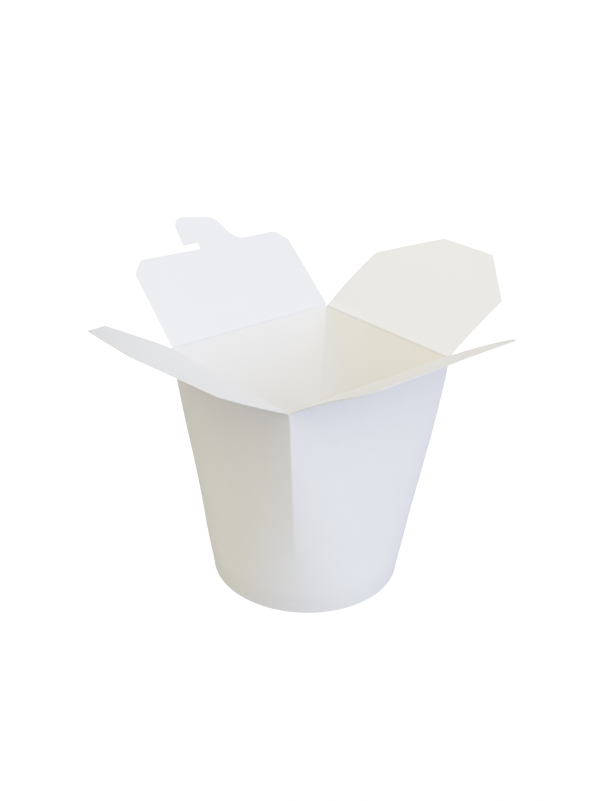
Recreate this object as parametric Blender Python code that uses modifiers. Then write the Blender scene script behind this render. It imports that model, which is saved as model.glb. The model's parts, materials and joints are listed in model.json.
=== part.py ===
"""An empty takeaway noodle box in white paperboard: round base, rectangular mouth, four open flaps.

Metres, +Z up, standing on z = 0. The two main flaps are hinged on the Y sides: the one with the
locking hook at +Y, the one with the slit that takes the hook at -Y. The two dust flaps are hinged
on the X sides and fold in under the main flaps.
"""

import math

import bmesh
import bpy
from mathutils import Matrix, Vector

# Driving dimensions of the box
MOUTH_X = 0.0920
MOUTH_Y = 0.0826
HEIGHT = 0.1097
BASE_RADIUS = 0.0440
BOARD = 0.00045
GAP = 0.0003
BOARD_COLOUR = (0.86, 0.86, 0.85)
BOARD_ROUGHNESS = 0.6
SHARP_ANGLE = math.radians(40)

# The walls: a loft from the round base to the rectangular rim. Each corner has a crease that turns
# through CREASE_KINK at the rim and fades out towards the base. A corner's cut is how far in from
# both walls its crease stands.
CREASE_KINK = math.radians(80)
CREASE_POWER = 1.5
BASE_CUT = BASE_RADIUS * (1 - math.sqrt(0.5))
RIM_CUT = 0.0001
CUT_DROP = 0.40
CUT_POWER = 2.3
LOFT_ROWS = 14
CORNER_STEPS = 8

# The base: a disc with a down-turned skirt, held in the walls' turned-in hem
HEM_HEIGHT = 0.0055
DISC_TOP = 0.0068
DISC_CORNER_RADIUS = 0.0009
DISC_CORNER_STEPS = 4
HEM_WIDTH = 3 * BOARD + 2 * GAP

# The flaps: each turns about an axis just outside its wall, and the dust flaps' axes are lower,
# so that the main flaps close over them
HINGE_OUT = 0.0004
DUST_DROP = 0.00075
MAIN_WIDTH = 0.0910
MAIN_DEPTH = 0.0444
MAIN_CHAMFER = 0.0060
MAIN_TAPER = 0.0006
FLAP_CORNER_RADIUS = 0.003
DUST_WIDTH = 0.0814
DUST_SHOULDER = 0.0372
DUST_DEPTH = 0.0614
DUST_TIP_WIDTH = 0.0310
SLIT_FROM_CREASE = 0.0382
SLIT_LENGTH = 0.0250
SLIT_WIDTH = 0.0009
SLIT_CENTRE = -0.0030
SLIT_BOW = 0.0012
SLIT_STEPS = 12
SLIT_END_SHARE = 0.3
SLIT_END_POWER = 8
ARC_STEP = math.radians(15)

# The locking hook's corners after its flap's left and right halves: (u, height above the flap's
# edge, corner radius). The edge dips a little where the barb's notch meets it.
HOOK_CORNERS = (
    (0.0156, 0.0, 0.0085),
    (0.0096, 0.01456, 0.0070),
    (-0.0124, 0.0186, 0.0055),
    (-0.0142, 0.0024, 0.0010),
    (-0.0060, 0.0024, 0.0007),
    (-0.0060, -0.0010, 0.0007),
)

# How far each flap stands up from level at rest
HOOK_REST = math.radians(41.6)
SLOT_REST = math.radians(30.2)
RIGHT_REST = math.radians(29.0)
LEFT_REST = math.radians(29.0)

MAIN_AXIS_Y = MOUTH_Y / 2 + HINGE_OUT
DUST_AXIS_X = MOUTH_X / 2 + HINGE_OUT
MAIN_AXIS_Z = HEIGHT
DUST_AXIS_Z = HEIGHT - DUST_DROP
WALL_TOP = HEIGHT - BOARD / 2 - GAP


def clear_scene():
    for obj in list(bpy.data.objects):
        bpy.data.objects.remove(obj, do_unlink=True)


def board_material(name):
    material = bpy.data.materials.new(name)
    material.use_nodes = True
    shader = material.node_tree.nodes["Principled BSDF"]
    shader.inputs["Base Color"].default_value = (*BOARD_COLOUR, 1.0)
    shader.inputs["Roughness"].default_value = BOARD_ROUGHNESS
    shader.inputs["Metallic"].default_value = 0.0
    return material


def add_object(name, data, parts, parent):
    """One named sub-part in the object's collection, placed in its parent's frame."""
    data.materials.append(board_material(name + "_board"))
    obj = bpy.data.objects.new(name, data)
    parts.objects.link(obj)
    obj.parent = parent
    return obj


def half_corner(radius, kink):
    """From a wall's flat to the corner's ridge, as (out, along) from the corner's centre.

    With no kink this is an eighth of a circle. With one, the ridge turns through the kink at once,
    and a flatter arc leads up to it, so that the ridge stands further out.
    """
    turn = (math.pi / 2 - kink) / 2
    bend = radius / (math.sin(turn) + 1 - math.cos(turn))
    angles = [turn * step / CORNER_STEPS for step in range(CORNER_STEPS + 1)]
    return [(radius - bend * (1 - math.cos(a)), bend * math.sin(a)) for a in angles]


def wall_section(level, inset=0.0):
    """One ring round the box, 0 at the round base and 1 at the rim, moved in by inset.

    Each point is (x, y, side), where side is 0 on the dust walls and 1 on the main walls.
    """
    kink = CREASE_KINK * level**CREASE_POWER
    drop = CUT_DROP * level**CUT_POWER
    cut = RIM_CUT + (BASE_CUT - RIM_CUT) * (1 - level) * (1 - drop)
    turn = (math.pi / 2 - kink) / 2
    radius = cut * (math.sin(turn) + 1 - math.cos(turn)) / (1 - math.cos(turn))
    centre_x = BASE_RADIUS + level * (MOUTH_X / 2 - BASE_RADIUS) - radius
    centre_y = BASE_RADIUS + level * (MOUTH_Y / 2 - BASE_RADIUS) - radius
    half = half_corner(radius - inset, kink)
    corner = half + [(along, out) for out, along in reversed(half[:-1])]
    last = len(corner) - 1
    quarter = [(centre_x + x, centre_y + y, index / last) for index, (x, y) in enumerate(corner)]
    points = []
    for sign_x, sign_y in ((1, 1), (-1, 1), (-1, -1), (1, -1)):
        ordered = quarter if sign_x == sign_y else reversed(quarter)
        points += [(sign_x * x, sign_y * y, side) for x, y, side in ordered]
    return points


def flat_ring(z, inset):
    """A level ring that follows the walls at height z, inset from their outside."""
    return [(x, y, z) for x, y, _ in wall_section(z / WALL_TOP, inset)]


def wall_rows():
    """Rings from the rim down to the floor, then in and up the inside of the hem."""
    rows = []
    for row in range(LOFT_ROWS, -1, -1):
        level = row / LOFT_ROWS
        section = wall_section(level)
        rows.append([(x, y, level * (WALL_TOP - DUST_DROP * (1 - side))) for x, y, side in section])
    rows.append(flat_ring(0, HEM_WIDTH))
    rows.append(flat_ring(HEM_HEIGHT, HEM_WIDTH))
    return rows


def disc_rows():
    """Rings from the edge of the disc's flat top, round its bend and down its skirt."""
    inset = BOARD + GAP
    rows = []
    for step in range(DISC_CORNER_STEPS + 1):
        angle = math.pi / 2 * step / DISC_CORNER_STEPS
        z = DISC_TOP - DISC_CORNER_RADIUS * (1 - math.cos(angle))
        rows.append(flat_ring(z, inset + DISC_CORNER_RADIUS * (1 - math.sin(angle))))
    rows.append(flat_ring(BOARD + GAP, inset))
    return rows


def make_shell(name, rows, capped, parts, parent):
    """A sheet through the rings, top ring first, thickened inwards to one board."""
    mesh = bpy.data.meshes.new(name)
    shape = bmesh.new()
    rings = [[shape.verts.new(point) for point in row] for row in rows]
    count = len(rings[0])
    for upper, lower in zip(rings, rings[1:]):
        for i in range(count):
            after = (i + 1) % count
            shape.faces.new((upper[i], lower[i], lower[after], upper[after]))
    if capped:
        shape.faces.new(rings[0])
    bmesh.ops.remove_doubles(shape, verts=shape.verts, dist=1e-6)
    shape.to_mesh(mesh)
    shape.free()
    shell = add_object(name, mesh, parts, parent)
    sheet = shell.modifiers.new("board", "SOLIDIFY")
    sheet.thickness = BOARD
    sheet.offset = -1
    sheet.use_even_offset = True
    mesh.shade_smooth()
    mesh.set_sharp_from_angle(angle=SHARP_ANGLE)
    return shell


def rounded_outline(corners):
    """The points of a closed outline. Each corner is (x, y, radius), and its arc turns by short steps."""
    points = []
    for index, (x, y, radius) in enumerate(corners):
        corner = Vector((x, y))
        if radius == 0:
            points.append(corner)
            continue
        back = (Vector(corners[index - 1][:2]) - corner).normalized()
        onward = (Vector(corners[(index + 1) % len(corners)][:2]) - corner).normalized()
        half = back.angle(onward) / 2
        centre = corner + (back + onward).normalized() * (radius / math.sin(half))
        first = corner + back * (radius / math.tan(half)) - centre
        last = corner + onward * (radius / math.tan(half)) - centre
        turn = math.atan2(first.x * last.y - first.y * last.x, first.dot(last))
        steps = max(2, math.ceil(abs(turn) / ARC_STEP))
        points += [centre + Matrix.Rotation(turn * step / steps, 2) @ first for step in range(steps + 1)]
    return points


def main_corners():
    """The left and right halves of a main flap's outline: u along the crease, v away from it."""
    half = MAIN_WIDTH / 2
    tip = (-half + MAIN_CHAMFER + MAIN_TAPER, MAIN_DEPTH, FLAP_CORNER_RADIUS)
    shoulder = (-half + MAIN_TAPER, MAIN_DEPTH - MAIN_CHAMFER, FLAP_CORNER_RADIUS)
    left = [tip, shoulder, (-half, 0, 0)]
    right = [(-x, y, radius) for x, y, radius in reversed(left)]
    return left, right


def hook_outline():
    """A main flap with the locking hook: a neck that rises from its edge, and a barb towards -u."""
    left, right = main_corners()
    hook = [(u, MAIN_DEPTH + above, radius) for u, above, radius in HOOK_CORNERS]
    return rounded_outline(left + right + hook)


def slot_outline():
    left, right = main_corners()
    return rounded_outline(left + right)


def slit_outline():
    """The narrow slit that takes the hook, bowed a little towards the flap's edge at its middle."""
    sides = [[], []]
    for step in range(SLIT_STEPS + 1):
        along = step / SLIT_STEPS * 2 - 1
        u = SLIT_CENTRE + along * SLIT_LENGTH / 2
        v = SLIT_FROM_CREASE + SLIT_BOW * (1 - along * along)
        width = SLIT_WIDTH / 2 * max(SLIT_END_SHARE, math.sqrt(1 - along**SLIT_END_POWER))
        sides[0].append((u, v - width))
        sides[1].append((u, v + width))
    return sides[0] + sides[1][::-1]


def dust_outline():
    """A dust flap: straight sides as far as its shoulders, then a long chamfer to the tip."""
    half = DUST_WIDTH / 2
    tip = DUST_TIP_WIDTH / 2
    shoulder = (half, DUST_SHOULDER, FLAP_CORNER_RADIUS)
    right = [(half, 0, 0), shoulder, (tip, DUST_DEPTH, FLAP_CORNER_RADIUS)]
    left = [(-x, y, radius) for x, y, radius in reversed(right)]
    return rounded_outline(right + left)


def make_flap(name, outlines, place, bearing, rest, parts, parent):
    """A flat flap cut from the board, its origin in the middle of its hinge axis."""
    curve = bpy.data.curves.new(name, "CURVE")
    curve.dimensions = "2D"
    curve.fill_mode = "BOTH"
    curve.extrude = BOARD / 2
    for outline in outlines:
        spline = curve.splines.new("POLY")
        spline.points.add(len(outline) - 1)
        for point, (x, y) in zip(spline.points, outline):
            point.co = (x, y, 0, 1)
        spline.use_cyclic_u = True
    flap = add_object(name, curve, parts, parent)
    flap.location = place
    flap.rotation_euler = (rest, 0, bearing - math.pi / 2)
    return flap


def box_centre_y():
    """Where the round base's middle stands, so that the origin is below the middle of the open box.

    At rest the hook flap reaches further out than the slit flap does.
    """
    hook_depth = max(v for u, v in hook_outline())
    hook_reach = MAIN_AXIS_Y + hook_depth * math.cos(HOOK_REST)
    slot_reach = MAIN_AXIS_Y + MAIN_DEPTH * math.cos(SLOT_REST)
    return (slot_reach - hook_reach) / 2


def main():
    clear_scene()
    parts = bpy.data.collections.new("noodle_box")
    bpy.context.scene.collection.children.link(parts)
    box_frame = bpy.data.objects.new("box_frame", None)
    parts.objects.link(box_frame)
    box_frame.location = (0, box_centre_y(), 0)

    make_shell("wall", wall_rows(), False, parts, box_frame)
    make_shell("base_disc", disc_rows(), True, parts, box_frame)

    right, back, left, front = (math.radians(degrees) for degrees in (0, 90, 180, 270))
    back_hinge = (0, MAIN_AXIS_Y, MAIN_AXIS_Z)
    front_hinge = (0, -MAIN_AXIS_Y, MAIN_AXIS_Z)
    right_hinge = (DUST_AXIS_X, 0, DUST_AXIS_Z)
    left_hinge = (-DUST_AXIS_X, 0, DUST_AXIS_Z)
    hook = [hook_outline()]
    slot = [slot_outline(), slit_outline()]
    dust = [dust_outline()]
    make_flap("flap_hook", hook, back_hinge, back, HOOK_REST, parts, box_frame)
    make_flap("flap_slot", slot, front_hinge, front, SLOT_REST, parts, box_frame)
    make_flap("flap_dust_right", dust, right_hinge, right, RIGHT_REST, parts, box_frame)
    make_flap("flap_dust_left", dust, left_hinge, left, LEFT_REST, parts, box_frame)


main()
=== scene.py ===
import json
import math

import bmesh
import bpy
from mathutils import Matrix, Vector, noise
from mathutils.geometry import delaunay_2d_cdt


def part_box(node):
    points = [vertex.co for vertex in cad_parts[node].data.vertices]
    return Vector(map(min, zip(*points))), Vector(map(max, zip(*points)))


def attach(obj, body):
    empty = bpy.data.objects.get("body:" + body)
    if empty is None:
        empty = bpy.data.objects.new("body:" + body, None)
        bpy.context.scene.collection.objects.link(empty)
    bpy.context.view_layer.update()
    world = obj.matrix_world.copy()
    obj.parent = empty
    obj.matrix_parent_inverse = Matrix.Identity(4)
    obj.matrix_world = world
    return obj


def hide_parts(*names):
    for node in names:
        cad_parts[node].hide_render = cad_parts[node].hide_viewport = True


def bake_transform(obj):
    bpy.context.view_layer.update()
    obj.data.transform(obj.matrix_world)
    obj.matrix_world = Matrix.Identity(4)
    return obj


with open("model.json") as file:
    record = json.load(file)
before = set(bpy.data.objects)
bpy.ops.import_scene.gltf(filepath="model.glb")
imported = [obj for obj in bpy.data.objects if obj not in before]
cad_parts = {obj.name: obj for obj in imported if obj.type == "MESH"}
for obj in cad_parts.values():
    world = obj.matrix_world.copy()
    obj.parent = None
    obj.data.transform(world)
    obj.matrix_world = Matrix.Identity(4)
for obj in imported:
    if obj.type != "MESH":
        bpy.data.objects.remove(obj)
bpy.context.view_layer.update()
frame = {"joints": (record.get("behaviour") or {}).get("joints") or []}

# The board, and the gap between layers that only touch
BOARD = 0.00045
GAP = 0.0003

# The board's edges are broken where they turn by more than BREAK_ANGLE, and the shading is creased
# where faces turn by more than SHARP_ANGLE. Points closer than MERGE are one.
EDGE_BREAK = 0.00006
BREAK_ANGLE = math.radians(70)
SHARP_ANGLE = math.radians(32)
MERGE = 1e-7

# How far the hinges stand outside the walls, and how much lower the rim is on the dust walls
HINGE_OUT = 0.0004
DUST_DROP = 0.00075

# What the frame says: the hinges, the middle and size of the mouth, the base and the rim's height
HINGES = {joint["child"]: Vector(joint["pos_m"]) for joint in frame["joints"]}
_, WALL_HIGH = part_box("wall")
CENTRE = Vector((0, (HINGES["hook_flap"].y + HINGES["slot_flap"].y) / 2, 0))
MOUTH_HALF_X = WALL_HIGH.x
MOUTH_HALF_Y = HINGES["hook_flap"].y - CENTRE.y - HINGE_OUT
BASE_RADIUS = WALL_HIGH.y - CENTRE.y
WALL_TOP = WALL_HIGH.z

# The walls' corners: each has a crease that turns through CREASE_KINK at the rim and fades out
# towards the round base. A corner's cut is how far in from both walls its ridge stands. The ridge
# itself is a round that is narrow at the rim. ROUND_CUT is the cut of a plain round of radius 1.
CREASE_KINK = math.radians(80)
CREASE_POWER = 1.5
ROUND_CUT = 1 - math.sqrt(0.5)
BASE_CUT = BASE_RADIUS * ROUND_CUT
RIM_CUT = 0.0001
CUT_DROP = 0.40
CUT_POWER = 2.3
RIDGE_RADIUS = 0.0003
RIDGE_POWER = 3

# The points of the walls: a section has them at NEAR_RIDGE from each ridge, then in FLAT_STATIONS
# even steps to the wall's middle. The rows end CREASE_ROOM below the rim, where the flaps' own
# sheets begin.
NEAR_RIDGE = (0, 0.00012, 0.0003, 0.00055, 0.0009, 0.0014, 0.0022, 0.0034)
FLAT_STATIONS = 18
WALL_ROWS = 62
CREASE_ROOM = 0.0008

# The board's slight unevenness: its height in the walls and in the flaps, the size of its waves, and
# how quickly it sets in below the rim
WALL_WARP = 0.00012
FLAP_WARP = 0.00024
WARP_SIZE = 0.040
WARP_ONSET = 6

# The bottom: the pressed band, the hem that is turned in round the base disc, and the disc with its
# skirt. A quarter bend takes BEND_STEPS rings.
BAND_TOP = 0.0085
BAND_STEP = 0.0014
BAND_DEPTH = 0.00010
BAND_ROWS = 16
HEM_HEIGHT = 0.0055
HEM_WIDTH = 3 * BOARD + 2 * GAP
HEM_BEND = 0.00030
HEM_ROWS = 5
DISC_TOP = 0.0068
DISC_BEND = 0.0009
DISC_RINGS = 14
SKIRT_ROWS = 5
BEND_STEPS = 5

# The glued side seam: a strip of a second layer on the right dust wall, near the back corner. Its
# far edge is measured from the wall's middle. It leaves SEAM_ROOM free under the crease, ends
# SEAM_FOOT above the floor, and lies on a thickness of glue.
SEAM_AT_RIM = 0.0395
SEAM_AT_BASE = 0.0350
SEAM_WIDTH = 0.0090
SEAM_COLUMNS = 9
SEAM_ROWS = 56
SEAM_ROOM = 0.0004
SEAM_FOOT = 0.0012
GLUE = 0.00002

# The flaps, and how far each leans up from level at rest, in degrees
HOOK_REST = 41.6
SLOT_REST = 30.2
DUST_REST = 29.0
MAIN_WIDTH = 0.0910
MAIN_DEPTH = 0.0444
MAIN_CHAMFER = 0.0060
MAIN_TAPER = 0.0006
FLAP_CORNER_RADIUS = 0.003
DUST_WIDTH = 0.0814
DUST_SHOULDER = 0.0372
DUST_DEPTH = 0.0614
DUST_TIP_WIDTH = 0.0310

# The slit that takes the hook: it has its full width at the middle and a share of it at the ends
SLIT_FROM_CREASE = 0.0382
SLIT_LENGTH = 0.0250
SLIT_WIDTH = 0.0009
SLIT_END_SHARE = 0.3
SLIT_SQUARENESS = 8
SLIT_CENTRE = -0.0030
SLIT_BOW = 0.0012
SLIT_STEPS = 24

# The net of triangles over a flap. The grid's rows grow from CREASE_STEP at the crease to GRID_STEP,
# and its points keep away from the outline by a share of the step.
ARC_LENGTH = 0.0005
EDGE_LENGTH = 0.0014
GRID_STEP = 0.0015
STEP_GROWTH = 1.6
OUTLINE_SHARE = 0.6
NET_TOLERANCE = 1e-8
SMALLEST_AREA = 1e-10

# The locking hook's corners after its flap's left and right halves: (u, height above the flap's
# edge, corner radius). The edge dips a little where the barb's notch meets it.
HOOK_CORNERS = (
    (0.0156, 0.0, 0.0085),
    (0.0096, 0.01456, 0.0070),
    (-0.0124, 0.0186, 0.0055),
    (-0.0142, 0.0024, 0.0010),
    (-0.0060, 0.0024, 0.0007),
    (-0.0060, -0.0010, 0.0007),
)

# The crease between wall and flap: a bend, and a scored bead that stands up on the inside. The
# flap's turn is spread from BEND_START to BEND_END across the hinge, and the part below the crease
# is TAB_INSET narrower at each end, to stay off the walls beside it.
BEND_RADIUS = 0.00045
CREASE_STEP = 0.00014
CREASE_REACH = 0.0012
BEAD_HEIGHT = 0.00005
BEAD_WIDTH = 0.00035
TAB_INSET = 0.0003

# Each flap: the name of its piece, its node, the direction that it opens to in degrees, where its
# paper's pattern starts, and how it has warped, as warp_of takes it. The warp sets in over
# LIFT_LENGTH from the crease, and BOW_SPAN of half a wave fits between crease and tip.
FLAPS = {
    "hook_flap": ("hook_flap_board", "flap_hook", 90, 0.1, (0, 0, 0, 0)),
    "slot_flap": ("slit_flap_board", "flap_slot", 270, 0.3, (0.0005, 0, -0.0009, 0)),
    "right_dust_flap": (
        "right_dust_board", "flap_dust_right", 0, 0.5, (0.0018, -0.0008, -0.0005, -0.0006),
    ),
    "left_dust_flap": (
        "left_dust_board", "flap_dust_left", 180, 0.7, (-0.0003, 0.0008, 0, 0.0002),
    ),
}
LIFT_LENGTH = 0.0060
BOW_SPAN = 0.95

# The papers: light tone, dark tone, roughness, specular level, coat, and the heights of the fibres
# and of the waves under them in metres
PAPERS = {
    # The outside's tones are set a little dark, partly as painted shade on the outer walls
    "board_outside_and_painted_shade": ((0.815, 0.815, 0.81), (0.795, 0.795, 0.79), 0.62, 0.35, 0.0, 0.000012, 0.00003),
    # The inside is lighter than the outside partly for its coating and partly as painted light inside
    # the box
    "board_inside_and_painted_light": ((0.98, 0.972, 0.955), (0.975, 0.966, 0.948), 0.5, 0.45, 0.15, 0.000006, 0.00004),
    # The flaps' inside is the inside board made darker and bluer: painted shade and a painted cool
    # cast of light
    "flap_inside_painted_cool_shade": ((0.885, 0.893, 0.925), (0.875, 0.883, 0.915), 0.5, 0.45, 0.15, 0.000006, 0.00004),
}
COAT_ROUGHNESS = 0.45

# The papers' pattern. The scales are in waves for each metre, and each range of noise gives its
# share of the way from the dark tone to the light one.
CLOUD_SCALE = 130
CLOUD_RANGE = (0.3, 0.7)
CLOUD_SHARE = 0.7
FIBRE_SCALE = 2600
FIBRE_STRETCH = 0.32
FIBRE_RANGE = (0.4, 0.75)
FIBRE_SHARE = 0.3
WAVE_SCALE = 170

# The raw cut edge
EDGE_LIGHT = (0.84, 0.83, 0.80)
EDGE_DARK = (0.72, 0.70, 0.66)
GRAIN_SCALE = 3200
GRAIN_HEIGHT = 0.00003

# Painted shade: the outside is darker towards the floor, standing in for the shade close to it: by
# PAINTED_FOOT_SHADE on it, and by nothing at PAINTED_FOOT_SHADE_TOP
PAINTED_FOOT_SHADE = 0.07
PAINTED_FOOT_SHADE_TOP = 0.014

# The camera that the photograph's outline fits
CAMERA_FROM_CENTRE = Vector((-0.2742, -0.3132, 0.2880))
CAMERA_AZIMUTH = math.radians(-40.57)
CAMERA_ELEVATION = math.radians(25.99)
CAMERA_ROLL = math.radians(1.26)
CAMERA_LENS = 46.04

# The studio. The floor is only seen: what lights the box from below is GROUND, which gives way to
# black across the HORIZON. Each lamp has the azimuth and height in degrees that it shines from, its
# apparent size in degrees and its strength in red, green and blue.
FLOOR_SIZE = 16
FLOOR_COLOUR = (0.45, 0.45, 0.45)
FLOOR_GLOW = 2.2
GROUND = (0.71, 0.72, 0.79)
HORIZON = 0.15
LAMPS = {
    "camera side": (-130, 50, 50, (0.99, 0.98, 0.98)),
    "left": (180, 35, 50, (0.48, 0.42, 0.12)),
    "right": (-90, 35, 50, (1.55, 1.62, 1.86)),
    "low right": (-60, 15, 50, (0.79, 0.88, 1.17)),
    "behind": (45, 45, 60, (1.18, 1.14, 1.06)),
    "far left": (135, 45, 60, (0.68, 0.54, 0.36)),
    "low left": (140, 15, 60, (0.36, 0.29, 0.10)),
    "above": (90, 65, 60, (0.30, 0.35, 0.30)),
}

# The picture's tones: straight up to TONE_BEND, then levelling off to full white at TONE_WHITE, as
# in a photograph exposed for a white subject
TONE_BEND = 0.3
TONE_WHITE = 2.5
TONE_STEPS = 10


def smooth_step(value):
    """Eases from 0 to 1 as the value does, and stays there beyond."""
    value = min(1.0, max(0.0, value))
    return value * value * (3 - 2 * value)


class Graph:
    """Short ways to add and join the nodes of one material or world."""

    def __init__(self, tree):
        self.tree = tree

    def add(self, kind, inputs=(), **settings):
        node = self.tree.nodes.new(kind)
        for key, value in settings.items():
            setattr(node, key, value)
        for key, value in dict(inputs).items():
            if isinstance(value, bpy.types.NodeSocket):
                self.tree.links.new(value, node.inputs[key])
            else:
                node.inputs[key].default_value = value
        return node

    def noise(self, vector, scale, detail=3.0, rough=0.5):
        inputs = {"Vector": vector, "Scale": scale, "Detail": detail, "Roughness": rough}
        return self.add("ShaderNodeTexNoise", inputs).outputs["Fac"]

    def remap(self, value, low, high, to_low, to_high):
        inputs = {0: value, 1: low, 2: high, 3: to_low, 4: to_high}
        return self.add("ShaderNodeMapRange", inputs).outputs[0]

    def mix(self, share, first, second):
        node = self.add("ShaderNodeMix", {0: share}, data_type="RGBA")
        for socket, value in ((node.inputs[6], first), (node.inputs[7], second)):
            if isinstance(value, bpy.types.NodeSocket):
                self.tree.links.new(value, socket)
            else:
                socket.default_value = (*value, 1.0)
        return node.outputs[2]

    def math(self, operation, first, second):
        return self.add("ShaderNodeMath", {0: first, 1: second}, operation=operation).outputs[0]


def new_material(name, roughness, specular):
    material = bpy.data.materials.new(name)
    material.use_nodes = True
    shader = material.node_tree.nodes["Principled BSDF"]
    shader.inputs["Roughness"].default_value = roughness
    shader.inputs["Specular IOR Level"].default_value = specular
    return Graph(material.node_tree), shader, material


def paper_surface(name, foot=0.0):
    """White board: cloudy formation, fibres along and across the sheet, and slight waves under them.

    With a foot given, it is that share darker on the floor, as painted shade.
    """
    light, dark, roughness, specular, coat, fibre_height, wave_height = PAPERS[name]
    graph, shader, material = new_material(name, roughness, specular)
    shader.inputs["Coat Weight"].default_value = coat
    shader.inputs["Coat Roughness"].default_value = COAT_ROUGHNESS
    place = graph.add("ShaderNodeUVMap", uv_map="sheet").outputs["UV"]
    along = graph.add(
        "ShaderNodeMapping",
        {"Vector": place, "Scale": (1.0, FIBRE_STRETCH, 1.0)},
    ).outputs["Vector"]
    across = graph.add(
        "ShaderNodeMapping",
        {"Vector": place, "Scale": (FIBRE_STRETCH, 1.0, 1.0), "Location": (0.37, 0.11, 0.0)},
    ).outputs["Vector"]
    cloud = graph.noise(place, CLOUD_SCALE, 4.0, 0.55)
    first = graph.noise(along, FIBRE_SCALE, 2.0, 0.5)
    second = graph.noise(across, FIBRE_SCALE, 2.0, 0.5)
    fibres = graph.math("MAXIMUM", first, second)
    cloud_tone = graph.remap(cloud, *CLOUD_RANGE, 0.0, CLOUD_SHARE)
    fibre_tone = graph.remap(fibres, *FIBRE_RANGE, 0.0, FIBRE_SHARE)
    colour = graph.mix(graph.math("ADD", cloud_tone, fibre_tone), dark, light)
    # Painted shade: the colour darkens towards the floor
    if foot:
        spot = graph.add("ShaderNodeTexCoord").outputs["Object"]
        height = graph.add("ShaderNodeSeparateXYZ", {"Vector": spot}).outputs["Z"]
        shade = graph.remap(height, 0.0, PAINTED_FOOT_SHADE_TOP, foot, 0.0)
        colour = graph.mix(shade, colour, (0, 0, 0))
    graph.tree.links.new(colour, shader.inputs["Base Color"])
    fine = graph.add("ShaderNodeBump", {"Height": fibres, "Distance": fibre_height, "Strength": 1.0})
    waves = graph.noise(place, WAVE_SCALE, 2.0, 0.5)
    broad = graph.add(
        "ShaderNodeBump",
        {"Height": waves, "Distance": wave_height, "Strength": 1.0, "Normal": fine.outputs["Normal"]},
    )
    graph.tree.links.new(broad.outputs["Normal"], shader.inputs["Normal"])
    return material


def edge_surface():
    """The raw cut edge: pressed layers of fibre, a little darker and warmer than the coated faces."""
    graph, shader, material = new_material("cut_edge", 0.9, 0.2)
    place = graph.add("ShaderNodeTexCoord").outputs["Object"]
    grain = graph.noise(place, GRAIN_SCALE, 3.0, 0.6)
    colour = graph.mix(grain, EDGE_DARK, EDGE_LIGHT)
    graph.tree.links.new(colour, shader.inputs["Base Color"])
    rough = graph.add("ShaderNodeBump", {"Height": grain, "Distance": GRAIN_HEIGHT, "Strength": 1.0})
    graph.tree.links.new(rough.outputs["Normal"], shader.inputs["Normal"])
    return material


def corner_values(level, inset):
    """A corner at a share of the wall's height: how long the flats beside it are, and its own shape.

    The shape is (radius, kink, ridge), for half_corner.
    """
    kink = CREASE_KINK * level**CREASE_POWER
    drop = CUT_DROP * level**CUT_POWER
    cut = RIM_CUT + (BASE_CUT - RIM_CUT) * (1 - level) * (1 - drop)
    ridge = min(RIDGE_RADIUS / level**RIDGE_POWER, cut / ROUND_CUT)
    turn = (math.pi / 2 - kink) / 2
    share = (1 - math.cos(turn)) / (math.sin(turn) + 1 - math.cos(turn))
    radius = ridge + (cut - ROUND_CUT * ridge) / share
    flat_x = BASE_RADIUS + level * (MOUTH_HALF_X - BASE_RADIUS) - radius
    flat_y = BASE_RADIUS + level * (MOUTH_HALF_Y - BASE_RADIUS) - radius
    return flat_x, flat_y, (radius - inset, kink, min(ridge, radius - inset))


def corner_lengths(shape):
    """The flatter arc's radius, its turn, and the lengths of the ridge's half and of the arc."""
    radius, kink, ridge = shape
    turn = (math.pi / 2 - kink) / 2
    bend = ridge + (radius - ridge) / (math.sin(turn) + 1 - math.cos(turn))
    return bend, turn, ridge * kink / 2, bend * turn


def half_corner(shape, distance):
    """A point of a corner, as (out, along) from its centre, at a distance from the ridge.

    The ridge is a narrow round that turns through half the kink. A flatter arc leads from it to
    the wall's flat, where along is 0 and below.
    """
    radius, _, ridge = shape
    bend, turn, ridge_length, bend_length = corner_lengths(shape)
    share = distance / (ridge_length + bend_length)
    if distance < ridge_length:
        angle = math.pi / 4 - distance / ridge
        towards = Vector((math.cos(turn), math.sin(turn)))
        middle = Vector((radius - bend, 0)) + (bend - ridge) * towards
        return middle + ridge * Vector((math.cos(angle), math.sin(angle))), share
    if distance < ridge_length + bend_length:
        angle = turn - (distance - ridge_length) / bend
        return Vector((radius - bend + bend * math.cos(angle), bend * math.sin(angle))), share
    return Vector((radius, ridge_length + bend_length - distance)), 1.0


def half_length(level, inset, flat):
    """How far it is along the section from the ridge to the middle of a wall."""
    _, _, shape = corner_values(level, inset)
    _, _, ridge_length, bend_length = corner_lengths(shape)
    return ridge_length + bend_length + flat


def stations(length):
    """Distances from the ridge to the middle of a wall: close together near the ridge, then even."""
    near = list(NEAR_RIDGE)
    rest = length - near[-1]
    return near + [near[-1] + rest * (step + 1) / FLAT_STATIONS for step in range(FLAT_STATIONS)]


def wall_section(level, inset):
    """One ring round the box as (x, y, side): side is 0 on the dust walls and 1 on the main walls."""
    flat_x, flat_y, shape = corner_values(level, inset)
    from_x = []
    for distance in reversed(stations(half_length(level, inset, flat_y))):
        (out, along), share = half_corner(shape, distance)
        from_x.append((flat_x + out, flat_y + along, 0.5 - share / 2))
    to_y = []
    for distance in stations(half_length(level, inset, flat_x))[1:]:
        (out, along), share = half_corner(shape, distance)
        to_y.append((flat_x + along, flat_y + out, 0.5 + share / 2))
    quarter = from_x + to_y
    ring = []
    for sign_x, sign_y in ((1, 1), (-1, 1), (-1, -1), (1, -1)):
        ordered = quarter if sign_x == sign_y else quarter[::-1]
        ring += [(sign_x * x, sign_y * y, side) for x, y, side in ordered[:-1]]
    return ring


def warp(x, y, z, size, amount):
    """A slight unevenness of the board, smooth and the same each run."""
    return amount * noise.noise(Vector((x, y, z)) / size)


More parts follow.
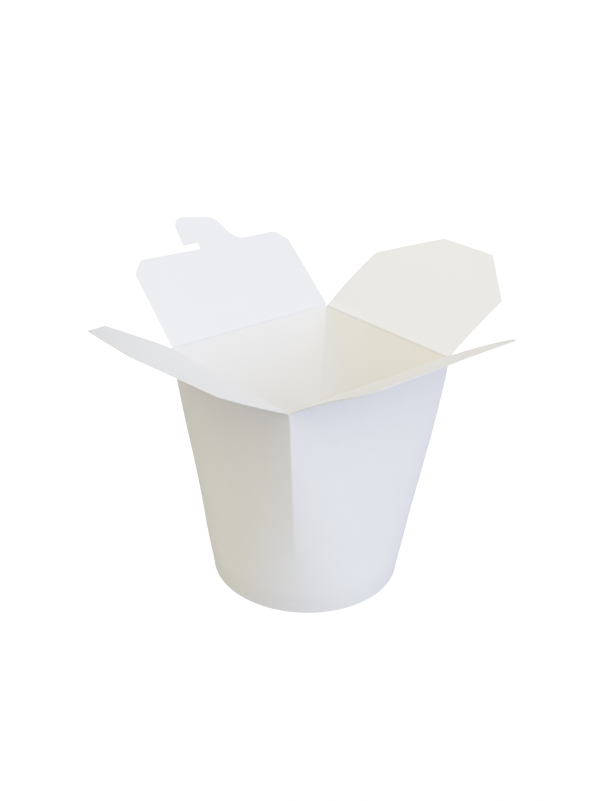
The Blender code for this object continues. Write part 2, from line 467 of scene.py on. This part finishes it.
def wall_ring(level, inset, z=None, wavy=0.0):
    """A ring of points in the shared frame. With no z given, it follows the step in the rim."""
    points = []
    for x, y, side in wall_section(level, inset):
        height = level * (WALL_TOP - DUST_DROP * (1 - side)) if z is None else z
        outward = Vector((x, y, 0)).normalized() * warp(x, y, height, WARP_SIZE, WALL_WARP * wavy)
        points.append(CENTRE + Vector((x, y, height)) + outward)
    return points


def wall_rows():
    """Rings down the middle of the board, from the rim to the floor and up the inside of the hem."""
    middle = BOARD / 2
    top_level = 1 - CREASE_ROOM / WALL_TOP
    band_level = BAND_TOP / WALL_TOP
    rows = []
    for row in range(WALL_ROWS + 1):
        level = top_level + (band_level - top_level) * row / WALL_ROWS
        wavy = smooth_step((1 - level) * WARP_ONSET)
        rows.append(wall_ring(level, middle, wavy=wavy))
    foot = middle + HEM_BEND
    for row in range(1, BAND_ROWS + 1):
        z = BAND_TOP + (foot - BAND_TOP) * row / BAND_ROWS
        below_top = smooth_step((BAND_TOP - z) / BAND_STEP)
        above_foot = smooth_step((z - foot) / BAND_STEP)
        pressed = BAND_DEPTH * below_top * above_foot
        rows.append(wall_ring(z / WALL_TOP, middle + pressed, z, wavy=1 - row / BAND_ROWS))
    inner = HEM_WIDTH - middle
    for step in range(1, BEND_STEPS + 1):
        angle = math.pi / 2 * step / BEND_STEPS
        z = foot - HEM_BEND * math.sin(angle)
        rows.append(wall_ring(z / WALL_TOP, middle + HEM_BEND * (1 - math.cos(angle)), z))
    for step in range(BEND_STEPS + 1):
        angle = math.pi / 2 * step / BEND_STEPS
        z = foot - HEM_BEND * math.cos(angle)
        rows.append(wall_ring(z / WALL_TOP, inner - HEM_BEND * (1 - math.sin(angle)), z))
    for step in range(1, HEM_ROWS + 1):
        z = foot + (HEM_HEIGHT - foot) * step / HEM_ROWS
        rows.append(wall_ring(z / WALL_TOP, inner, z))
    return rows


def disc_rows():
    """Rings from near the middle of the disc to its edge, round its bend and down its skirt."""
    edge = BOARD + GAP + BOARD / 2
    top = DISC_TOP - BOARD / 2
    bend = DISC_BEND - BOARD / 2
    rim = [point - CENTRE for point in wall_ring(top / WALL_TOP, edge + bend, top)]
    rows = []
    for ring in range(DISC_RINGS):
        share = (ring + 0.5) / DISC_RINGS
        rows.append([CENTRE + Vector((point.x * share, point.y * share, top)) for point in rim])
    for step in range(BEND_STEPS + 1):
        angle = math.pi / 2 * step / BEND_STEPS
        z = top - bend * (1 - math.cos(angle))
        rows.append(wall_ring(z / WALL_TOP, edge + bend * (1 - math.sin(angle)), z))
    foot = BOARD + GAP
    for step in range(1, SKIRT_ROWS + 1):
        z = top - bend + (foot - top + bend) * step / SKIRT_ROWS
        rows.append(wall_ring(z / WALL_TOP, edge, z))
    return rows


def finish_board(name, mesh, materials):
    """Thickens a sheet to one board, breaks its cut edges, and makes it a plain mesh.

    The materials are for the face that the sheet's normals point to, the other face and the edges.
    """
    for material in materials:
        mesh.materials.append(material)
    obj = bpy.data.objects.new(name, mesh)
    bpy.context.scene.collection.objects.link(obj)
    sheet = obj.modifiers.new("board", "SOLIDIFY")
    sheet.thickness = BOARD
    sheet.offset = 0
    sheet.use_even_offset = True
    sheet.material_offset = 1
    sheet.material_offset_rim = 2
    edges = obj.modifiers.new("edges", "BEVEL")
    edges.width = EDGE_BREAK
    edges.segments = 1
    edges.limit_method = "ANGLE"
    edges.angle_limit = BREAK_ANGLE
    edges.use_clamp_overlap = False
    edges.loop_slide = False
    evaluated = obj.evaluated_get(bpy.context.evaluated_depsgraph_get())
    solid = bpy.data.meshes.new_from_object(evaluated)
    obj.modifiers.clear()
    obj.data = solid
    bpy.data.meshes.remove(mesh)
    solid.name = name
    solid.shade_smooth()
    solid.set_sharp_from_angle(angle=SHARP_ANGLE)
    return obj


def ring_lengths(row):
    """How far along the ring each of its points is, the first one again at the end."""
    lengths = [0.0]
    for a, b in zip(row, row[1:] + row[:1]):
        lengths.append(lengths[-1] + (b - a).length)
    return lengths


def ring_mesh(name, rows, capped, closed=True):
    """Quads through the rows, with a sheet map in metres: along the row, then down the rows.

    A closed mesh joins each row's ends, and a capped one has a face over its first row.
    """
    shape = bmesh.new()
    sheet_map = shape.loops.layers.uv.new("sheet")
    rings = [[shape.verts.new(point) for point in row] for row in rows]
    count = len(rings[0])
    down = 0.0
    steps = count if closed else count - 1
    for index, (upper, lower) in enumerate(zip(rings, rings[1:])):
        step_down = (rows[index + 1][0] - rows[index][0]).length
        lengths = ring_lengths(rows[index])
        lengths_below = ring_lengths(rows[index + 1])
        for i in range(steps):
            after = (i + 1) % count
            face = shape.faces.new((upper[i], lower[i], lower[after], upper[after]))
            places = (
                (lengths[i], down),
                (lengths_below[i], down + step_down),
                (lengths_below[i + 1], down + step_down),
                (lengths[i + 1], down),
            )
            for loop, place in zip(face.loops, places):
                loop[sheet_map].uv = place
        down += step_down
    if capped:
        shape.faces.new(rings[0])
    bmesh.ops.remove_doubles(shape, verts=shape.verts, dist=MERGE)
    mesh = bpy.data.meshes.new(name)
    shape.to_mesh(mesh)
    shape.free()
    return mesh


def make_wall(outside, inside, edge):
    mesh = ring_mesh("box_wall", wall_rows(), capped=False)
    wall = finish_board("box_wall", mesh, (outside, inside, edge))
    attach(wall, "box")
    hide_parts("wall")


def make_disc(outside, inside, edge):
    mesh = ring_mesh("box_base", disc_rows(), capped=True)
    disc = finish_board("box_base", mesh, (inside, outside, edge))
    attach(disc, "box")
    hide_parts("base_disc")


def side_point(level, inset, distance):
    """A point of the right dust wall or the back corner, at a distance from the wall's middle."""
    flat_x, flat_y, shape = corner_values(level, inset)
    from_ridge = half_length(level, inset, flat_y) - distance
    (out, along), share = half_corner(shape, abs(from_ridge))
    x, y = (out, along) if from_ridge >= 0 else (along, out)
    side = 0.5 - share / 2 if from_ridge >= 0 else 0.5 + share / 2
    z = level * (WALL_TOP - DUST_DROP * (1 - side))
    outward = Vector((flat_x + x, flat_y + y, 0)).normalized()
    wavy = smooth_step((1 - level) * WARP_ONSET)
    bulge = warp(flat_x + x, flat_y + y, z, WARP_SIZE, WALL_WARP * wavy)
    return CENTRE + Vector((flat_x + x, flat_y + y, z)) + outward * bulge


def make_seam(outside, inside, edge):
    """The lap of the blank's end over its start, glued down on the outside of the wall."""
    top_level = 1 - (CREASE_ROOM + SEAM_ROOM) / WALL_TOP
    foot_level = SEAM_FOOT / WALL_TOP
    inset = -BOARD / 2 - GLUE
    rows = []
    for row in range(SEAM_ROWS + 1):
        level = top_level + (foot_level - top_level) * row / SEAM_ROWS
        far = SEAM_AT_BASE + (SEAM_AT_RIM - SEAM_AT_BASE) * level
        distances = [far - SEAM_WIDTH * (1 - i / SEAM_COLUMNS) for i in range(SEAM_COLUMNS + 1)]
        rows.append([side_point(level, inset, distance) for distance in distances])
    mesh = ring_mesh("side_seam", rows, capped=False, closed=False)
    seam = finish_board("side_seam", mesh, (outside, inside, edge))
    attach(seam, "box")


def rounded_outline(corners):
    """The points of a closed outline. Each corner is (x, y, radius), and its arc has short steps."""
    points = []
    for index, (x, y, radius) in enumerate(corners):
        corner = Vector((x, y))
        if radius == 0:
            points.append(corner)
            continue
        back = (Vector(corners[index - 1][:2]) - corner).normalized()
        onward = (Vector(corners[(index + 1) % len(corners)][:2]) - corner).normalized()
        half = back.angle(onward) / 2
        centre = corner + (back + onward).normalized() * (radius / math.sin(half))
        first = corner + back * (radius / math.tan(half)) - centre
        last = corner + onward * (radius / math.tan(half)) - centre
        turn = math.atan2(first.x * last.y - first.y * last.x, first.dot(last))
        steps = max(3, math.ceil(abs(turn) * radius / ARC_LENGTH))
        turns = [Matrix.Rotation(turn * step / steps, 2) for step in range(steps + 1)]
        points += [centre + part_turn @ first for part_turn in turns]
    return points


def main_corners(tab):
    """The left and right halves of a main flap's outline: u along the crease, v away from it.

    The tab is where the outline ends below the crease, on the wall's side.
    """
    half = MAIN_WIDTH / 2
    tip = (-half + MAIN_CHAMFER + MAIN_TAPER, MAIN_DEPTH, FLAP_CORNER_RADIUS)
    shoulder = (-half + MAIN_TAPER, MAIN_DEPTH - MAIN_CHAMFER, FLAP_CORNER_RADIUS)
    left = [tip, shoulder, (-half, 0, 0), (-half + TAB_INSET, tab, 0)]
    right = [(-x, y, radius) for x, y, radius in reversed(left)]
    return left, right


def hook_outline(tab):
    """A main flap with the locking hook: a neck that rises from its edge, and a barb towards -u."""
    left, right = main_corners(tab)
    hook = [(u, MAIN_DEPTH + above, radius) for u, above, radius in HOOK_CORNERS]
    return rounded_outline(left + right + hook)


def slot_outline(tab):
    left, right = main_corners(tab)
    return rounded_outline(left + right)


def dust_outline(tab):
    """A dust flap: straight sides as far as its shoulders, then a long chamfer to the tip."""
    half = DUST_WIDTH / 2
    tip = DUST_TIP_WIDTH / 2
    shoulder = (half, DUST_SHOULDER, FLAP_CORNER_RADIUS)
    end = (tip, DUST_DEPTH, FLAP_CORNER_RADIUS)
    right = [(half - TAB_INSET, tab, 0), (half, 0, 0), shoulder, end]
    left = [(-x, y, radius) for x, y, radius in reversed(right)]
    return rounded_outline(right + left)


def slit_outline():
    """The narrow slit that takes the hook, bowed a little towards the flap's edge at its middle."""
    sides = [[], []]
    for step in range(SLIT_STEPS + 1):
        along = step / SLIT_STEPS * 2 - 1
        u = SLIT_CENTRE + along * SLIT_LENGTH / 2
        v = SLIT_FROM_CREASE + SLIT_BOW * (1 - along * along)
        width = SLIT_WIDTH / 2 * max(SLIT_END_SHARE, math.sqrt(1 - along**SLIT_SQUARENESS))
        sides[0].append(Vector((u, v - width)))
        sides[1].append(Vector((u, v + width)))
    return sides[0] + sides[1][::-1]


def with_short_edges(outline):
    """The outline with points added along its long straight edges."""
    points = []
    for a, b in zip(outline, outline[1:] + outline[:1]):
        steps = max(1, math.ceil((b - a).length / EDGE_LENGTH))
        points += [a.lerp(b, step / steps) for step in range(steps)]
    return points


def is_inside(point, outline):
    inside = False
    for a, b in zip(outline, outline[1:] + outline[:1]):
        if (a.y > point.y) != (b.y > point.y):
            if point.x < a.x + (point.y - a.y) / (b.y - a.y) * (b.x - a.x):
                inside = not inside
    return inside


def is_on_sheet(point, outlines):
    """Whether a point is inside the first outline and outside the others, which are holes."""
    return is_inside(point, outlines[0]) and not any(is_inside(point, hole) for hole in outlines[1:])


def far_from(point, outline, room):
    return all((point - other).length_squared > room * room for other in outline)


def sheet_points(outlines, tab):
    """Points on a grid inside the outline: rows close together at the crease, then even."""
    rows = []
    v = tab + CREASE_STEP
    while v < CREASE_REACH:
        rows.append((v, CREASE_STEP))
        v += CREASE_STEP
    step = CREASE_STEP
    while v < max(point.y for point in outlines[0]):
        step = min(GRID_STEP, step * STEP_GROWTH)
        rows.append((v, step))
        v += step
    columns = math.ceil(max(point.x for point in outlines[0]) / GRID_STEP)
    points = []
    for v, step in rows:
        for column in range(-columns, columns + 1):
            point = Vector((column * GRID_STEP, v))
            if is_on_sheet(point, outlines):
                if all(far_from(point, outline, OUTLINE_SHARE * step) for outline in outlines):
                    points.append(point)
    return points


def flat_sheet(outlines, tab):
    """The flap as a flat net of triangles, as (points, triangles)."""
    outlines = [with_short_edges(outline) for outline in outlines]
    points = []
    edges = []
    for outline in outlines:
        first = len(points)
        points += outline
        edges += [(first + i, first + (i + 1) % len(outline)) for i in range(len(outline))]
    points += sheet_points(outlines, tab)
    found, _, triangles, _, _, _ = delaunay_2d_cdt(points, edges, [], 0, NET_TOLERANCE)
    kept = []
    for triangle in triangles:
        a, b, c = (found[i] for i in triangle)
        if (b - a).cross(c - a) < SMALLEST_AREA:
            continue
        if is_on_sheet((a + b + c) / 3, outlines):
            kept.append(triangle)
    return found, kept


class Crease:
    """The middle of the board in a section across one crease, as (out, up) from the hinge's axis.

    The flap's own plane passes through the axis. Below it the board bends down to the wall's slope.
    """

    def __init__(self, rest, base_half, rim_half, rim_height, axis_out, axis_up):
        slope = Vector((rim_half - base_half, rim_height))
        self.up = slope.normalized()
        self.flap = Vector((math.cos(rest), math.sin(rest)))
        start_level = 1 - CREASE_ROOM / WALL_TOP
        start = Vector((base_half - BOARD / 2, 0)) + slope * start_level - Vector((axis_out, axis_up))
        turn = self.up.angle(self.flap)
        cross = self.flap.x * self.up.y - self.flap.y * self.up.x
        meet = (start.x * self.up.y - start.y * self.up.x) / cross
        tangent = BEND_RADIUS * math.tan(turn / 2)
        self.bend_end = meet + tangent
        self.bend_start = self.bend_end - BEND_RADIUS * turn
        self.inward = Vector((-self.flap.y, self.flap.x))
        self.middle = self.flap * self.bend_end - self.inward * BEND_RADIUS
        self.turn = turn
        low = self.middle + Matrix.Rotation(turn, 2) @ self.inward * BEND_RADIUS
        self.tab = self.bend_start - (low - start).length
        self.low = low

    def at(self, v):
        """The place and the inward normal at v."""
        if v >= self.bend_end:
            return self.flap * v, self.inward
        if v >= self.bend_start:
            normal = Matrix.Rotation((self.bend_end - v) / BEND_RADIUS, 2) @ self.inward
            return self.middle + normal * BEND_RADIUS, normal
        normal = Matrix.Rotation(self.turn, 2) @ self.inward
        return self.low - self.up * (self.bend_start - v), normal

    def bead(self, v):
        """How far the scored line stands up on the inside."""
        middle = (self.bend_start + self.bend_end) / 2
        return BEAD_HEIGHT * math.exp(-(((v - middle) / BEAD_WIDTH) ** 2))


def make_flap(body, crease, outlines, materials):
    """One flap with its crease, which bends between the box and the flap's own body."""
    name, node, bearing, seed, warped = FLAPS[body]
    lift = warp_of(*warped)
    points, triangles = flat_sheet(outlines, crease.tab)
    turn = math.radians(bearing)
    out = Vector((math.cos(turn), math.sin(turn), 0))
    along = Vector((math.sin(turn), -math.cos(turn), 0))
    up = Vector((0, 0, 1))
    hinge = HINGES[body]
    half = max(point.x for point in points)
    depth = max(point.y for point in points)
    shape = bmesh.new()
    sheet_map = shape.loops.layers.uv.new("sheet")
    verts = []
    for point in points:
        u, v = point
        place, normal = crease.at(v)
        free = smooth_step(v / LIFT_LENGTH)
        raised = crease.bead(v) + free * lift(u / half, v / depth)
        raised += free * warp(u + seed, v, seed, WARP_SIZE, FLAP_WARP)
        place = place + normal * raised
        verts.append(shape.verts.new(hinge + along * u + out * place.x + up * place.y))
    shape.verts.index_update()
    for triangle in triangles:
        face = shape.faces.new([verts[i] for i in triangle])
        for loop, index in zip(face.loops, triangle):
            loop[sheet_map].uv = points[index] + Vector((seed, 0))
    mesh = bpy.data.meshes.new(name)
    shape.to_mesh(mesh)
    shape.free()
    flap = finish_board(name, mesh, materials)
    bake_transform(flap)
    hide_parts(node)


def warp_of(bow, bow_twist, tip, tip_twist):
    """How a flap has warped, in metres: bowed between crease and tip, and curled at the tip.

    Each twist is what the amount gains towards +u and loses towards -u.
    """

    def lift(across, away):
        bowed = (bow + bow_twist * across) * math.sin(math.pi * BOW_SPAN * away)
        return bowed + (tip + tip_twist * across) * away * away

    return lift


def make_flaps(outside, inside, edge):
    materials = (inside, outside, edge)
    main_out = MOUTH_HALF_Y + HINGE_OUT
    main_place = (BASE_RADIUS, MOUTH_HALF_Y, WALL_TOP, main_out, HINGES["hook_flap"].z)
    dust_top = WALL_TOP - DUST_DROP
    dust_out = MOUTH_HALF_X + HINGE_OUT
    dust_place = (BASE_RADIUS, MOUTH_HALF_X, dust_top, dust_out, HINGES["right_dust_flap"].z)
    hook_crease = Crease(math.radians(HOOK_REST), *main_place)
    slot_crease = Crease(math.radians(SLOT_REST), *main_place)
    dust_crease = Crease(math.radians(DUST_REST), *dust_place)
    dust = [dust_outline(dust_crease.tab)]
    make_flap("hook_flap", hook_crease, [hook_outline(hook_crease.tab)], materials)
    make_flap("slot_flap", slot_crease, [slot_outline(slot_crease.tab), slit_outline()], materials)
    make_flap("right_dust_flap", dust_crease, dust, materials)
    make_flap("left_dust_flap", dust_crease, dust, materials)


def make_floor():
    bpy.ops.mesh.primitive_plane_add(size=FLOOR_SIZE, location=(0, 0, 0))
    floor = bpy.context.object
    floor.name = "floor"
    _, shader, material = new_material("studio_floor", 0.9, 0.1)
    shader.inputs["Base Color"].default_value = (*FLOOR_COLOUR, 1)
    shader.inputs["Emission Color"].default_value = (1, 1, 1, 1)
    shader.inputs["Emission Strength"].default_value = FLOOR_GLOW
    floor.data.materials.append(material)
    floor.visible_diffuse = False
    floor.visible_glossy = False
    floor.visible_shadow = False


def make_studio():
    world = bpy.data.worlds.new("studio")
    world.use_nodes = True
    bpy.context.scene.world = world
    graph = Graph(world.node_tree)
    direction = graph.add("ShaderNodeTexCoord").outputs["Generated"]
    height = graph.add("ShaderNodeSeparateXYZ", {"Vector": direction}).outputs["Z"]
    surround = graph.mix(graph.remap(height, -HORIZON, HORIZON, 0.0, 1.0), GROUND, (0, 0, 0))
    background = graph.add("ShaderNodeBackground", {"Color": surround, "Strength": 1.0})
    backdrop = graph.add("ShaderNodeBackground", {"Color": (1, 1, 1, 1), "Strength": TONE_WHITE})
    seen = graph.add("ShaderNodeLightPath").outputs["Is Camera Ray"]
    inputs = {0: seen, 1: background.outputs[0], 2: backdrop.outputs[0]}
    both = graph.add("ShaderNodeMixShader", inputs)
    surface = world.node_tree.nodes["World Output"].inputs["Surface"]
    world.node_tree.links.new(both.outputs[0], surface)
    for name, (azimuth, height, size, colour) in LAMPS.items():
        lamp = bpy.data.lights.new(name, "SUN")
        lamp.angle = math.radians(size)
        lamp.energy = max(colour)
        lamp.color = [part / max(colour) for part in colour]
        holder = bpy.data.objects.new(name, lamp)
        turn = math.radians(azimuth)
        rise = math.radians(height)
        flat = math.cos(rise)
        source = Vector((flat * math.cos(turn), flat * math.sin(turn), math.sin(rise)))
        holder.rotation_euler = source.to_track_quat("Z", "Y").to_euler()
        holder.location = source
        bpy.context.scene.collection.objects.link(holder)


def make_camera():
    data = bpy.data.cameras.new("camera")
    data.lens = CAMERA_LENS
    camera = bpy.data.objects.new("camera", data)
    camera.location = CENTRE + CAMERA_FROM_CENTRE
    bearing = Matrix.Rotation(CAMERA_AZIMUTH, 3, "Z")
    tilt = Matrix.Rotation(math.pi / 2 - CAMERA_ELEVATION, 3, "X")
    roll = Matrix.Rotation(CAMERA_ROLL, 3, "Z")
    camera.rotation_euler = (bearing @ tilt @ roll).to_euler()
    bpy.context.scene.collection.objects.link(camera)
    bpy.context.scene.camera = camera


def set_tones():
    """Levels the highlights off, by a curve over the light from 0 to TONE_WHITE."""
    view = bpy.context.scene.view_settings
    view.view_transform = "Standard"
    view.use_curve_mapping = True
    view.curve_mapping.white_level = (TONE_WHITE, TONE_WHITE, TONE_WHITE)
    power = (TONE_WHITE - TONE_BEND) / (1 - TONE_BEND)
    for step in range(TONE_STEPS):
        share = step / TONE_STEPS
        light = TONE_BEND + (TONE_WHITE - TONE_BEND) * share
        tone = 1 - (1 - TONE_BEND) * (1 - share) ** power
        view.curve_mapping.curves[3].points.new(light / TONE_WHITE, tone)
    view.curve_mapping.update()


def main():
    # The outside is given painted shade near the floor
    outside = paper_surface("board_outside_and_painted_shade", PAINTED_FOOT_SHADE)
    # The inside board's tones carry painted light for the inside of the box
    inside = paper_surface("board_inside_and_painted_light")
    # The flaps' inside board carries painted shade and a painted cool cast of light
    flap_inside_painted_cool_shade = paper_surface("flap_inside_painted_cool_shade")
    edge = edge_surface()
    make_wall(outside, inside, edge)
    make_disc(outside, inside, edge)
    make_seam(outside, inside, edge)
    make_flaps(outside, flap_inside_painted_cool_shade, edge)
    make_floor()
    make_studio()
    make_camera()
    set_tones()


main()
